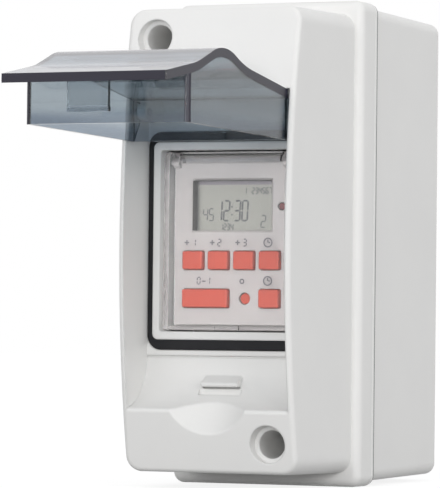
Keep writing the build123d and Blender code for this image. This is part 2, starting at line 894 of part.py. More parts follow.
def timer_housing():
    """Rear housing that straddles the rail, open to the front."""
    housing = block(-timer_half_width, timer_half_width, -timer_half_height, timer_half_height,
                    timer_back_depth, timer_split_depth)
    inside_x = timer_half_width - timer_wall
    inside_z = timer_half_height - timer_wall
    floor_depth = rail_front_depth + timer_wall
    housing -= block(-inside_x, inside_x, -inside_z, inside_z, floor_depth, timer_split_depth)
    slot_half = rail_half_height + rail_gap
    housing -= block(-timer_half_width, timer_half_width, -slot_half, slot_half,
                     timer_back_depth, rail_front_depth)
    housing += rail_hook()
    housing -= clip_channel()
    for x in (-power_half_width + post_radius, power_half_width - post_radius):
        for z in (-power_half_height + post_radius, power_half_height - post_radius):
            housing += post(x, z, post_radius, floor_depth, power_back_depth)
    shelf_from = clamp_back_depth - shelf_thickness
    shelf_inner = terminal_height - clamp_half_height
    for side in (-1, 1):
        low, high = sorted((side * shelf_inner, side * inside_z))
        housing += block(-inside_x, inside_x, low, high, shelf_from, clamp_back_depth)
    for x, z, side in terminal_places():
        housing -= wire_entry(x, side)
    return housing


def wire_entry(x, side):
    """Round hole in the end wall in line with one clamp."""
    length = 2 * timer_wall
    middle = side * (timer_half_height - timer_wall / 2)
    depth = clamp_back_depth + clamp_wall + wire_hole_radius
    return Pos(x, -depth, middle) * Cylinder(wire_hole_radius, length)


def hook_depths():
    """Depths between which the hook and the clip lie, just behind the rail flange."""
    front = rail_front_depth - rail_sheet - rail_gap
    return front - hook_thickness, front


def rail_hook():
    """Fixed hook behind the upper flange of the rail."""
    back, front = hook_depths()
    low = rail_half_height - hook_reach
    high = rail_half_height + rail_gap + timer_wall
    return block(-hook_half_width, hook_half_width, low, high, back, front)


def clip_channel():
    """Channel in the lower foot that the clip slides in."""
    back, front = hook_depths()
    half_width = clip_half_width + clip_gap
    return block(-half_width, half_width, -timer_half_height, -rail_half_height,
                 back - clip_gap, front + clip_gap)


def rail_clip():
    """Sliding clip behind the lower flange, with a pull tail below the housing."""
    back, front = hook_depths()
    tail_end = -timer_half_height - clip_tail
    nose = -rail_half_height + hook_reach
    clip = block(-clip_half_width, clip_half_width, tail_end, nose, back, front)
    eye_low = tail_end + clip_eye_rise
    clip -= block(-clip_eye_half_width, clip_eye_half_width, eye_low, eye_low + clip_eye_height, back, front)
    half_slit = clip_slit_width / 2
    slit_from = -timer_half_height + clip_slit_low
    slit_to = nose - clip_slit_high
    for x in (-clip_slit_x, clip_slit_x):
        clip -= block(x - half_slit, x + half_slit, slit_from, slit_to, back, front)
    return clip


def nose_shell():
    """Hollow nose with its ledge, raised face and shoulders."""
    shoulders = block(-timer_half_width, timer_half_width, -timer_half_height, timer_half_height,
                      timer_split_depth, shoulder_depth)
    nose = shoulders + slab(nose_half_width, nose_half_height, nose_corner, timer_split_depth, ledge_depth)
    hollow_x = nose_half_width - nose_wall
    hollow_z = nose_half_height - nose_wall
    ledge_back = ledge_depth - nose_wall
    nose -= block(-hollow_x, hollow_x, -hollow_z, hollow_z, timer_split_depth, ledge_back)
    nose += block(-face_half_width, face_half_width, face_bottom, face_top, ledge_back, face_depth)
    inside_x = face_half_width - face_side_wall
    nose -= block(-inside_x, inside_x, face_bottom + face_side_wall, face_top - face_side_wall,
                  ledge_back, face_back_depth)
    return nose


def display_opening():
    """Display opening with a bevelled edge."""
    low = display_height - display_half_height
    high = display_height + display_half_height
    middle = Pos(0, display_height)
    cut = block(-display_half_width, display_half_width, low, high, face_back_depth, face_depth)
    narrow = Rectangle(2 * display_half_width, 2 * display_half_height)
    back = facing(face_depth - display_bevel) * middle * narrow
    wide_x = 2 * (display_half_width + display_bevel)
    wide_z = 2 * (display_half_height + display_bevel)
    front = facing(face_depth) * middle * Rectangle(wide_x, wide_z)
    return cut + loft([back.face(), front.face()])


def key_places():
    """Name, centre, and half sizes of every square key."""
    half_width = key_width / 2
    wide_half = (key_pitch + key_width) / 2
    top_row = [(name, x, key_row_top, half_width)
               for name, x in zip(("minute", "hour", "day", "program"), columns)]
    manual = ("manual", (columns[0] + columns[1]) / 2, key_row_bottom, wide_half)
    clock = ("clock", columns[3], key_row_bottom, half_width)
    return [*top_row, manual, clock]


def timer_bezel():
    """Face of the timer, pierced for display, keys and lamp."""
    bezel = nose_shell() - display_opening()
    for name, x, z, half_width in key_places():
        bezel -= slab(half_width + key_gap, key_height / 2 + key_gap, key_corner,
                      face_back_depth, face_depth, x, z)
    bezel -= post(columns[2], key_row_bottom, reset_radius + key_gap, face_back_depth, face_depth)
    bezel -= post(lamp_x, lamp_z, lamp_radius + lamp_gap, face_back_depth, face_depth)
    for side in (-1, 1):
        bezel += flip_lug(side)
        bezel -= cross_rod(flip_stub_radius + pin_running_gap, flip_lug_thickness / 2,
                           flip_axis_depth, flip_axis_height, side * flip_lug_middle())
        for height in (-board_post_z, board_post_z):
            bezel += post(side * board_post_x, height, board_post_radius,
                          board_front_depth, ledge_depth - nose_wall)
    for x, z, side in terminal_places():
        bezel -= post(x, z, driver_hole_radius, timer_split_depth, shoulder_depth)
    return bezel


def flip_lug(side):
    """Lug on the ledge that holds one stub of the flip cover."""
    outline = Pos(flip_axis_depth, flip_axis_height) * Circle(flip_lug_radius)
    foot_depth = ledge_depth - nose_wall
    foot_middle = (foot_depth + flip_axis_depth) / 2
    foot = Rectangle(flip_axis_depth - foot_depth, 2 * flip_lug_radius)
    outline += Pos(foot_middle, flip_axis_height) * foot
    return side_plate(outline, flip_lug_thickness / 2, side * flip_lug_middle())


def flip_lug_middle():
    """Distance of the middle of a lug from the centre line."""
    return face_half_width - flip_lug_thickness / 2


def timer_flip_cover():
    """Clear tray over the face: plate, side walls, rolled top and two stubs."""
    half = flip_half_width
    plate = block(-half, half, flip_bottom, flip_axis_height, flip_front_depth - flip_wall, flip_front_depth)
    bottom = block(-half, half, flip_bottom, flip_bottom + flip_wall, flip_side_depth, flip_front_depth)
    flip = plate + bottom + rolled_top()
    for side in (-1, 1):
        flip += flip_side(side)
    low = flip_bottom + edge_search
    corners = flip.edges().filter_by(Axis.Y).filter_by(lambda edge: edge.center().Z < low)
    flip = fillet(corners, flip_wall)
    return flip + block(-flip_tab_half_width, flip_tab_half_width, flip_bottom, flip_bottom + flip_tab_height,
                        flip_front_depth, flip_front_depth + flip_tab_lift)


def rolled_top():
    """Quarter tube along the top edge, concentric with the axis and notched round the lugs."""
    centre = Pos(flip_axis_depth, flip_axis_height)
    ring = centre * Circle(flip_barrel_radius) - centre * Circle(flip_barrel_radius - flip_wall)
    middle = Pos(flip_axis_depth + flip_barrel_radius / 2, flip_axis_height + flip_barrel_radius / 2)
    quarter = middle * Rectangle(flip_barrel_radius, flip_barrel_radius)
    roll = side_plate(ring & quarter, flip_half_width)
    for side in (-1, 1):
        roll -= side_plate(quarter, flip_lug_thickness / 2 + flip_notch_gap, side * flip_lug_middle())
    return roll


def flip_side(side):
    """Side wall of the flip cover with its round ear and stub."""
    x = side * (flip_half_width - flip_side_wall / 2)
    low, high = sorted((side * (flip_half_width - flip_side_wall), side * flip_half_width))
    wall = block(low, high, flip_bottom, flip_axis_height, flip_side_depth, flip_front_depth)
    wall += cross_rod(flip_barrel_radius, flip_side_wall / 2, flip_axis_depth, flip_axis_height, x)
    stub_start = flip_half_width - flip_side_wall / 2
    stub_end = face_half_width - flip_stub_reach
    stub_x = side * (stub_start + stub_end) / 2
    half_length = (stub_start - stub_end) / 2
    return wall + cross_rod(flip_stub_radius, half_length, flip_axis_depth, flip_axis_height, stub_x)


def key_cap(x, z, half_width):
    """Square key with a rounded front edge and a collar behind the face."""
    half_height = key_height / 2
    cap = slab(half_width, half_height, key_corner, key_back_depth, key_front_depth, x, z)
    cap = fillet(edges_at(cap, key_front_depth), key_edge)
    collar_back = key_back_depth + key_travel
    return cap + slab(half_width + key_collar, half_height + key_collar, key_corner,
                      collar_back, collar_back + key_collar_thickness, x, z)


def button_reset():
    """Round reset key that stays below the face."""
    x = columns[2]
    cap = post(x, key_row_bottom, reset_radius, key_back_depth, reset_front_depth)
    collar_back = key_back_depth + key_travel
    return cap + post(x, key_row_bottom, reset_radius + key_collar, collar_back,
                      collar_back + key_collar_thickness)


def lcd_glass():
    """Display glass behind the opening."""
    return block(-glass_half_width, glass_half_width, glass_bottom, glass_top,
                 face_back_depth - glass_thickness, face_back_depth)


def display_holder():
    """Frame that spaces the glass from the board."""
    back = board_front_depth
    front = face_back_depth - glass_thickness
    frame = block(-glass_half_width, glass_half_width, glass_bottom, glass_top, back, front)
    inner_x = glass_half_width - holder_wall
    return frame - block(-inner_x, inner_x, glass_bottom + holder_wall, glass_top - holder_wall, back, front)


def contact_strips():
    """Two conducting rubber strips between board and glass."""
    front = face_back_depth - glass_thickness
    low = glass_bottom + holder_wall
    high = glass_top - holder_wall
    back = board_front_depth
    lower = block(-strip_half_length, strip_half_length, low, low + strip_thickness, back, front)
    upper = block(-strip_half_length, strip_half_length, high - strip_thickness, high, back, front)
    return [lower, upper]


def keypad():
    """Rubber mat with a dome behind every key."""
    top = board_front_depth + mat_thickness
    mat = block(-mat_half_width, mat_half_width, mat_bottom, mat_top, board_front_depth, top)
    dome_top = key_back_depth - dome_gap
    centres = [(x, key_row_top) for x in columns] + [(x, key_row_bottom) for x in columns]
    for x, z in centres:
        mat += post(x, z, dome_radius, top, dome_top)
    return mat


def display_board():
    """Circuit board behind the display and keys."""
    return block(-board_half_width, board_half_width, -board_half_height, board_half_height,
                 board_back_depth, board_front_depth)


def led_lens():
    """Indicator lamp that reaches into the face from the board."""
    lamp = post(lamp_x, lamp_z, lamp_radius, board_front_depth, lamp_front_depth)
    return fillet(edges_at(lamp, lamp_front_depth), lamp_edge)


def power_board():
    """Circuit board for supply and relay."""
    return block(-power_half_width, power_half_width, -power_half_height, power_half_height,
                 power_back_depth, power_board_depth)


def soft_edged_block(place, size):
    """Block on the power board with rounded edges, sized width, depth and height."""
    width, depth, height = size
    middle = Pos(place[0], -power_board_depth - depth / 2, place[1])
    body = middle * Box(width, depth, height)
    return fillet(body.edges().filter_by(Axis.Y), part_edge)


def backup_cell():
    """Button cell in a strap on the power board."""
    x, z = cell_place
    base = power_board_depth + cell_strap
    top = base + cell_height
    low_x = x - cell_strap_half_width
    high_x = x + cell_strap_half_width
    cell = post(x, z, cell_radius, base, top)
    cell += block(low_x, high_x, z - cell_radius, z + cell_radius, power_board_depth, base)
    return cell + block(low_x, high_x, z - cell_strap_reach, z + cell_strap_reach, top, top + cell_strap)


def link_board():
    """Narrow board that stands between the two circuit boards."""
    return block(-link_half_width, link_half_width, link_height, link_height + link_thickness,
                 power_board_depth, board_back_depth)


def terminal_clamp(x, side):
    """Wire clamp: cage with a wire way, a screw hole and a tail to the board."""
    clamp_front = clamp_back_depth + clamp_length
    inner = terminal_height - clamp_half_height
    outer = terminal_height + clamp_half_height
    cage = block(x - clamp_half_width, x + clamp_half_width, inner, outer, clamp_back_depth, clamp_front)
    way_half = clamp_half_width - clamp_wall
    way_front = clamp_back_depth + clamp_wall + 2 * wire_hole_radius
    cage -= block(x - way_half, x + way_half, inner + clamp_wall, outer,
                  clamp_back_depth + clamp_wall, way_front)
    cage -= post(x, terminal_height, terminal_screw_radius + screw_thread_gap, way_front, clamp_front)
    tail_low = power_half_height - tail_thickness
    cage += block(x - tail_half_width, x + tail_half_width, tail_low, inner,
                  clamp_back_depth, clamp_back_depth + tail_thickness)
    cage += block(x - tail_half_width, x + tail_half_width, tail_low, tail_low + tail_thickness,
                  power_board_depth, clamp_back_depth)
    return cage if side > 0 else cage.mirror(Plane.XY)


def terminal_clamps():
    """Three clamps at the top and two at the bottom."""
    return [terminal_clamp(x, side) for x, z, side in terminal_places()]


def terminal_screws():
    """One screw in every clamp."""
    seat = clamp_back_depth + clamp_length
    screw = pan_screw(terminal_screw_radius, terminal_screw_reach, terminal_head_radius,
                      terminal_head_height, seat)
    return [Pos(x, 0, z) * screw for x, z, side in terminal_places()]


def save(name, shape):
    """Write one node, whose solids stay apart."""
    solids = shape if isinstance(shape, list) else [shape]
    parts = [solid for item in solids for solid in item.solids()]
    export_step(parts[0] if len(parts) == 1 else Compound(children=parts), f"parts/{name}.step")


os.makedirs("parts", exist_ok=True)
makers = (
    back_box, front_cover, box_seal, window_gasket, smoked_lid, lid_hinge_pins, cover_screws,
    din_rail, rail_screws, timer_housing, rail_clip, timer_bezel, timer_flip_cover, button_reset,
    lcd_glass, display_holder, contact_strips, keypad, display_board, led_lens, power_board,
    backup_cell, link_board, terminal_clamps, terminal_screws,
)
for maker in makers:
    save(maker.__name__, maker())
for key_name, key_x, key_z, key_half_width in key_places():
    save(f"button_{key_name}", key_cap(key_x, key_z, key_half_width))
save("relay", soft_edged_block(relay_place, relay_size))
save("mains_capacitor", soft_edged_block(capacitor_place, capacitor_size))
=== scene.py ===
import json
import math

import bmesh
import bpy
from mathutils import Matrix, Vector
from mathutils.bvhtree import BVHTree


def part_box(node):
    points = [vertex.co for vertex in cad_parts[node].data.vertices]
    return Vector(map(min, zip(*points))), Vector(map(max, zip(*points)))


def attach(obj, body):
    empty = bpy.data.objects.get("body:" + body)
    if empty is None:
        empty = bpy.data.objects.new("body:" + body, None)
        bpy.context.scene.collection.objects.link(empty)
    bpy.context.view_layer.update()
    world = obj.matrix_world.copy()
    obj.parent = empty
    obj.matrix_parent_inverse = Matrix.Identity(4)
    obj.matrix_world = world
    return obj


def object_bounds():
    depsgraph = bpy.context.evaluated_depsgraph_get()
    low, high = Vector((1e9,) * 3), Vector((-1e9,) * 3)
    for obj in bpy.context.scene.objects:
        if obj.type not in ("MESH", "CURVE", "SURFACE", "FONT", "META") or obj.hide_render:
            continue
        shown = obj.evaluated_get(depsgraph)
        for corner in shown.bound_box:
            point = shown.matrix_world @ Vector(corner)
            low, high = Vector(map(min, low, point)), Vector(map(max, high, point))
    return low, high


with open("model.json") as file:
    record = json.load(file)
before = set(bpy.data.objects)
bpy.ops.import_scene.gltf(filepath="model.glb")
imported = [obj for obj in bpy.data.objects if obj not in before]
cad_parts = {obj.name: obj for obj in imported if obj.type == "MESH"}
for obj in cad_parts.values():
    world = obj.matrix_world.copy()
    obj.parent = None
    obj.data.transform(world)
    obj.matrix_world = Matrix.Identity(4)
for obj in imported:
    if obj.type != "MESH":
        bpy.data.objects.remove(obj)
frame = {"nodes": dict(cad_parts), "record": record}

# Everything is in metres, in the part's own frame: +Z up, the front looks along -Y.
cad_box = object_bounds()
nodes = frame["nodes"]
MM = 0.001

# Camera, as fitted to the photograph's edges
PHOTO_WIDTH_PX = 440
PHOTO_HEIGHT_PX = 488
CAMERA_AZIMUTH = math.radians(24.5)
CAMERA_ELEVATION = math.radians(-1.344)
CAMERA_ROLL = math.radians(0.609)
CAMERA_DISTANCE = 902.442 * MM
CAMERA_FOCAL_PX = 3670.986
CAMERA_TARGET = Vector((0, -79.5 * MM, 0))
TARGET_PX = (227.798, 240.84)
SENSOR_WIDTH_MM = 36.0
CLIP_NEAR = 0.05
CLIP_FAR = 20

# Light
WORLD_STRENGTH = 0.74
WORLD_COLOUR = (0.97, 0.98, 1.0)
FLOOR_GAP = 0.05 * MM
FLOOR_HALF = 4.0
FLOOR_BOUNCE = 0.22
FLOOR_WHITE = 1.12
FLOOR_SHADOW_SHARE = 0.25
FLOOR_ROUGHNESS = 0.9
PAPER_COLOUR = (0.93, 0.93, 0.93)

# Lamps: name, place, width, power and colour
LAMPS = (
    ("key", (-0.60, -1.40, 0.70), 0.8, 3.2, (1.0, 0.995, 0.985)),
    ("fill", (1.45, -0.75, 0.25), 1.0, 8.5, (1.0, 0.995, 0.985)),
    ("front", (0.42, -1.55, 0.13), 0.34, 6.1, (1.0, 1.0, 1.0)),
)

# Surfaces: scales are in cycles per metre
SLOW_SCALE = 55
NOISE_DETAIL = 3
GRAIN_DETAIL = 4
TONE_FROM = 0.3
TONE_TO = 0.7
ROUGHNESS_SPREAD = 0.07
BEVEL_SAMPLES = 6
CLEAR_IOR = 1.58
CLEAR_SCALE = 260
CLEAR_ROUGHNESS_SPREAD = 0.03
CLEAR_RELIEF = 0.004 * MM
CLEAR_EDGE = 0.12 * MM
DISPLAY_SLOW_SCALE = 90
DISPLAY_SCALE = 3000
DISPLAY_ROUGHNESS = (0.16, 0.26)
DISPLAY_COAT = 0.5
DISPLAY_RELIEF = 0.003 * MM
BOARD_SCALE = 1500
BOARD_ROUGHNESS = (0.25, 0.4)
TRACK_SCALE = 320
TRACK_COLOURS = {
    "Color1": (0.012, 0.13, 0.045), "Color2": (0.016, 0.16, 0.055), "Mortar": (0.03, 0.25, 0.09),
}
TRACK_RELIEF = 0.02 * MM

# Sockets of Blender's Mix node when it mixes colours
MIX_FACTOR = 0
MIX_COLOURS = (6, 7)
MIX_COLOUR_RESULT = 2

# Marks on the display and the face. Small numbers are a share of the time's height.
MARK_LIFT = 0.02 * MM
MARK_THICKNESS = 0.02 * MM
DIGIT_HEIGHT = 4.9 * MM
DIGIT_WIDTH = 1.45 * MM
DIGIT_PITCH = 2.05 * MM
SEGMENT_WIDTH = 0.46 * MM
SEGMENT_LEAST = 0.31 * MM
SEGMENT_GAP = 0.05 * MM
DIGIT_SLANT = 0.05
SECOND_SHARE = 0.6
SECOND_STRETCH = 1.3
SMALL_SHARE = 0.3
SMALL_STRETCH = 1.5
TIME_FOOT = 3.45 * MM
COLON_X = -0.75 * MM
COLON_HEIGHTS = (0.3, 0.7)
COLON_HALF = 0.2 * MM
CIRCLE_STEPS = 32
CORNER_STEPS = 8
SYMBOL_SIZE = 1.25 * MM
SYMBOL_LINE = 0.33 * MM
SYMBOL_RISE = 1.5 * MM
LABEL_SHARE = 0.34
LABEL_STRETCH = 1.6
LABEL_MIDDLE = 0.7 * MM
FIGURE_SHIFT = 0.2
DIAL_RADIUS = 0.85
LONG_HAND = 0.6
SHORT_HAND = 0.45
RESET_RADIUS = 0.4
ZERO_X = -1.8 * MM
ONE_X = 0.8 * MM
DASH_HALF = 0.5 * MM

# Numbers on the display: figures, place across and above the time's foot, share and stretch
DISPLAY_NUMBERS = (
    ("45", -8.6 * MM, 0, SECOND_SHARE, SECOND_STRETCH),
    ("12", -5.1 * MM, 0, 1, 1),
    ("30", -0.15 * MM, 0, 1, 1),
    ("2", 7.1 * MM, -1.7 * MM, SECOND_SHARE, SECOND_STRETCH),
    ("1234", -3.9 * MM, -2.3 * MM, SMALL_SHARE, SMALL_STRETCH),
    ("1", 2.4 * MM, 6.6 * MM, SMALL_SHARE, SMALL_STRETCH),
    ("234567", 4.6 * MM, 6.6 * MM, SMALL_SHARE, SMALL_STRETCH),
)

# Shadow painted on the display glass along the window's top and left side, and the dark lining there
WINDOW_HALF_WIDTH = 10.35 * MM
WINDOW_HALF_HEIGHT = 6.2 * MM
WINDOW_ABOVE_MIDDLE = 6.45 * MM
WINDOW_SIDE_SHADE = 1.2 * MM
WINDOW_TOP_SHADE = 1.15 * MM
WINDOW_TOP_FULL_SHADE = 0.92 * MM
WINDOW_TOP_SHADOW_COLOUR = (0.225, 0.205, 0.235)
WINDOW_SIDE_SHADOW_COLOUR = (0.09, 0.09, 0.095)
SURROUND_WALL = 0.12 * MM
SURROUND_SINK = 0.5 * MM

# Black ring standing in for the shadow in the seam between cover and box
SEAM_SINK = 0.10 * MM
SEAM_ROOT = 0.50 * MM
SEAM_HALF = 0.15 * MM
SEAM_CORNER = 2.7 * MM

# Haze on top of the lid, shade painted on the cut edges of its panel and the corners of its collar, and its
# collar, darker towards the bottom
HAZE_COLOUR = (0.86, 0.855, 0.89)
HAZE_LEAST = 0.22
HAZE_MOST = 0.38
HAZE_FROM_SLOPE = 0.75
HAZE_FULL_SLOPE = 0.92
STREAK_SCALE = 420
STREAK_STRETCH = (0.06, 1, 1)
CUT_EDGE_SHADE_COLOUR = (0.027, 0.025, 0.041)
CUT_EDGE_SHADE_SHARE = 0.86
CUT_EDGE_ROUGHNESS = 0.35
CUT_EDGE_GLOSS = 0.3
UPRIGHT_FACE = 0.9
COLLAR_FRONT = -147.8 * MM
COLLAR_CORNER_BAND = 1.1 * MM
COLLAR_LIGHT_HEIGHT = 29.5 * MM
COLLAR_DARK_HEIGHT = 26.0 * MM
COLLAR_LOW_DARKER_COLOUR = (0.68, 0.71, 0.77)

# The lid's panel, whose top is felt for at even steps from the cover to its free edge
LID_ROOT_DEPTH = 91.3 * MM
LID_THICKNESS = 2.15 * MM
LID_FEEL_X = 12 * MM
LID_STEPS = 24
LID_INSET = 0.05 * MM
LID_LOWEST = 33.5 * MM
LID_RISE = 10 * MM


def smooth_noise(tree, scale, detail, stretch=(1, 1, 1)):
    """Noise in the part's own coordinates, at a scale in cycles per metre."""
    place = tree.nodes.new("ShaderNodeTexCoord")
    mapping = tree.nodes.new("ShaderNodeMapping")
    mapping.inputs["Scale"].default_value = stretch
    noise = tree.nodes.new("ShaderNodeTexNoise")
    noise.inputs["Scale"].default_value = scale
    noise.inputs["Detail"].default_value = detail
    tree.links.new(place.outputs["Object"], mapping.inputs["Vector"])
    tree.links.new(mapping.outputs["Vector"], noise.inputs["Vector"])
    return noise.outputs["Fac"]


def colour_between(tree, factor, first, second):
    """Two colours mixed by a factor."""
    ramp = tree.nodes.new("ShaderNodeValToRGB")
    ramp.color_ramp.elements[0].position = TONE_FROM
    ramp.color_ramp.elements[0].color = (*first, 1)
    ramp.color_ramp.elements[1].position = TONE_TO
    ramp.color_ramp.elements[1].color = (*second, 1)
    tree.links.new(factor, ramp.inputs["Fac"])
    return ramp.outputs["Color"]


def number_between(tree, factor, low, high):
    """A factor spread over a range."""
    spread = tree.nodes.new("ShaderNodeMapRange")
    spread.inputs["To Min"].default_value = low
    spread.inputs["To Max"].default_value = high
    tree.links.new(factor, spread.inputs["Value"])
    return spread.outputs["Result"]


def split(tree, kind):
    """Place or normal of a point in the part's own axes, split into X, Y and Z."""
    place = tree.nodes.new("ShaderNodeTexCoord")
    parts = tree.nodes.new("ShaderNodeSeparateXYZ")
    tree.links.new(place.outputs[kind], parts.inputs["Vector"])
    return parts.outputs


def along_axis(tree, axis, start, end):
    """Zero at one place on an axis of the part and one at another, with a soft turn."""
    spread = tree.nodes.new("ShaderNodeMapRange")
    spread.interpolation_type = "SMOOTHSTEP"
    spread.inputs["From Min"].default_value = start
    spread.inputs["From Max"].default_value = end
    tree.links.new(split(tree, "Object")[axis], spread.inputs["Value"])
    return spread.outputs["Result"]


def calculated(tree, operation, first, second):
    """Result of an operation on two sockets or numbers."""
    node = tree.nodes.new("ShaderNodeMath")
    node.operation = operation
    for place, value in enumerate((first, second)):
        if isinstance(value, (int, float)):
            node.inputs[place].default_value = value
        else:
            tree.links.new(value, node.inputs[place])
    return node.outputs["Value"]


def mixed_colour(tree, factor, first, second):
    """Two colours, or a socket and a colour, mixed by a factor."""
    mix = tree.nodes.new("ShaderNodeMix")
    mix.data_type = "RGBA"
    tree.links.new(factor, mix.inputs[MIX_FACTOR])
    for socket, value in zip(MIX_COLOURS, (first, second)):
        if isinstance(value, tuple):
            mix.inputs[socket].default_value = (*value, 1)
        else:
            tree.links.new(value, mix.inputs[socket])
    return mix.outputs[MIX_COLOUR_RESULT]


def mixed_surface(tree, factor, first, second):
    """Socket of two surfaces mixed by a factor, a socket or a number."""
    mix = tree.nodes.new("ShaderNodeMixShader")
    if isinstance(factor, (int, float)):
        mix.inputs["Fac"].default_value = factor
    else:
        tree.links.new(factor, mix.inputs["Fac"])
    tree.links.new(first, mix.inputs[1])
    tree.links.new(second, mix.inputs[2])
    return mix.outputs["Shader"]


def rounded_bump(tree, shader, height, depth, edge):
    """Fine relief of a surface whose edges look rounded."""
    bump = tree.nodes.new("ShaderNodeBump")
    bump.inputs["Strength"].default_value = 1.0
    bump.inputs["Distance"].default_value = depth
    tree.links.new(height, bump.inputs["Height"])
    if edge:
        bevel = tree.nodes.new("ShaderNodeBevel")
        bevel.samples = BEVEL_SAMPLES
        bevel.inputs["Radius"].default_value = edge
        tree.links.new(bevel.outputs["Normal"], bump.inputs["Normal"])
    tree.links.new(bump.outputs["Normal"], shader.inputs["Normal"])


def empty_material(name):
    """Material with its own node tree and its main shader."""
    material = bpy.data.materials.new(name)
    material.use_nodes = True
    return material, material.node_tree, material.node_tree.nodes["Principled BSDF"]


def moulded(name, colour, shade, roughness, grain=1800, depth=0.012 * MM, edge=0.25 * MM, metallic=0.0,
            stretch=(1, 1, 1), coat=0.0, gloss=0.5):
    """Moulded, cast or rolled surface with fine grain and slow changes of tone."""
    material, tree, shader = empty_material(name)
    slow = smooth_noise(tree, SLOW_SCALE, NOISE_DETAIL)
    fine = smooth_noise(tree, grain, GRAIN_DETAIL, stretch)
    tree.links.new(colour_between(tree, slow, colour, shade), shader.inputs["Base Color"])
    spread = number_between(tree, fine, roughness - ROUGHNESS_SPREAD, roughness + ROUGHNESS_SPREAD)
    tree.links.new(spread, shader.inputs["Roughness"])
    shader.inputs["Metallic"].default_value = metallic
    shader.inputs["Coat Weight"].default_value = coat
    shader.inputs["Specular IOR Level"].default_value = gloss
    rounded_bump(tree, shader, fine, depth, edge)
    return material


def clear(name, absorbed, density, roughness, shadow, lid=False):
    """Clear or smoked plastic that takes light up along its thickness."""
    material, tree, shader = empty_material(name)
    shader.inputs["Base Color"].default_value = (1, 1, 1, 1)
    if lid:
        # The lid's colour turns darker and bluer towards the bottom of its collar
        low = along_axis(tree, "Z", COLLAR_LIGHT_HEIGHT, COLLAR_DARK_HEIGHT)
        tree.links.new(mixed_colour(tree, low, (1, 1, 1), COLLAR_LOW_DARKER_COLOUR), shader.inputs["Base Color"])
    shader.inputs["Transmission Weight"].default_value = 1.0
    shader.inputs["IOR"].default_value = CLEAR_IOR
    fine = smooth_noise(tree, CLEAR_SCALE, NOISE_DETAIL)
    spread = number_between(tree, fine, roughness, roughness + CLEAR_ROUGHNESS_SPREAD)
    tree.links.new(spread, shader.inputs["Roughness"])
    rounded_bump(tree, shader, fine, CLEAR_RELIEF, CLEAR_EDGE)
    path = tree.nodes.new("ShaderNodeLightPath")
    through = tree.nodes.new("ShaderNodeBsdfTransparent")
    through.inputs["Color"].default_value = (*shadow, 1)
    surface = lid_surface(tree, shader.outputs["BSDF"]) if lid else shader.outputs["BSDF"]
    surface = mixed_surface(tree, path.outputs["Is Shadow Ray"], surface, through.outputs["BSDF"])
    absorb = tree.nodes.new("ShaderNodeVolumeAbsorption")
    absorb.inputs["Color"].default_value = (*absorbed, 1)
    absorb.inputs["Density"].default_value = density
    out = tree.nodes["Material Output"]
    tree.links.new(surface, out.inputs["Surface"])
    tree.links.new(absorb.outputs["Volume"], out.inputs["Volume"])
    return material


def display(name, colour, shade):
    """Reflective display glass, with the shadow of its window's edges at the side and the top painted into
    its colour.
    """
    material, tree, shader = empty_material(name)
    low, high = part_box("lcd_glass")
    side = -WINDOW_HALF_WIDTH
    top = (low.z + high.z) / 2 + WINDOW_ABOVE_MIDDLE
    slow = smooth_noise(tree, DISPLAY_SLOW_SCALE, NOISE_DETAIL)
    tone = colour_between(tree, slow, colour, shade)
    # Painted shadow of the window's top edge and left side on the glass
    top_shadow_mask = along_axis(tree, "Z", top - WINDOW_TOP_SHADE, top - WINDOW_TOP_FULL_SHADE)
    tone = mixed_colour(tree, top_shadow_mask, tone, WINDOW_TOP_SHADOW_COLOUR)
    side_shadow_mask = along_axis(tree, "X", side + WINDOW_SIDE_SHADE, side)
    tone = mixed_colour(tree, side_shadow_mask, tone, WINDOW_SIDE_SHADOW_COLOUR)
    tree.links.new(tone, shader.inputs["Base Color"])
    fine = smooth_noise(tree, DISPLAY_SCALE, NOISE_DETAIL)
    tree.links.new(number_between(tree, fine, *DISPLAY_ROUGHNESS), shader.inputs["Roughness"])
    shader.inputs["Coat Weight"].default_value = DISPLAY_COAT
    rounded_bump(tree, shader, fine, DISPLAY_RELIEF, 0)
    return material


def panel_underside(near, far):
    """Depth and height of points on the underside of the lid's panel, at even steps outwards."""
    mesh = nodes["smoked_lid"].data
    corners = [vertex.co for vertex in mesh.vertices]
    surface = BVHTree.FromPolygons(corners, [face.vertices for face in mesh.polygons])
    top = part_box("smoked_lid")[1].z + LID_RISE
    points = []
    for step in range(LID_STEPS + 1):
        depth = near + LID_INSET + (far - near - 2 * LID_INSET) * step / LID_STEPS
        place = surface.ray_cast(Vector((LID_FEEL_X, -depth, top)), Vector((0, 0, -1)))[0]
        points.append((depth, place.z - LID_THICKNESS))
    return points


def above_panel(tree):
    """One on the lid's panel, whose underside follows a curve, and zero on the collar under it."""
    place = split(tree, "Object")
    near = LID_ROOT_DEPTH
    far = -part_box("smoked_lid")[0].y
    depth = calculated(tree, "MULTIPLY", place["Y"], -1)
    share = calculated(tree, "DIVIDE", calculated(tree, "SUBTRACT", depth, near), far - near)
    line = tree.nodes.new("ShaderNodeFloatCurve")
    underside = panel_underside(near, far)
    shares = [((y - near) / (far - near), (z - LID_LOWEST) / LID_RISE) for y, z in underside]
    points = line.mapping.curves[0].points
    points[0].location = shares[0]
    points[-1].location = shares[-1]
    for across, upward in shares[1:-1]:
        points.new(across, upward)
    line.mapping.update()
    tree.links.new(share, line.inputs["Value"])
    rise = calculated(tree, "MULTIPLY", line.outputs["Value"], LID_RISE)
    height = calculated(tree, "ADD", rise, LID_LOWEST)
    return calculated(tree, "GREATER_THAN", place["Z"], height)


def sideways(tree):
    """One on faces that look to the side or to the front, and zero on the rest."""
    normal = split(tree, "Normal")
    aside = calculated(tree, "ABSOLUTE", normal["X"], 0)
    ahead = calculated(tree, "MULTIPLY", normal["Y"], -1)
    return calculated(tree, "GREATER_THAN", calculated(tree, "MAXIMUM", aside, ahead), UPRIGHT_FACE)


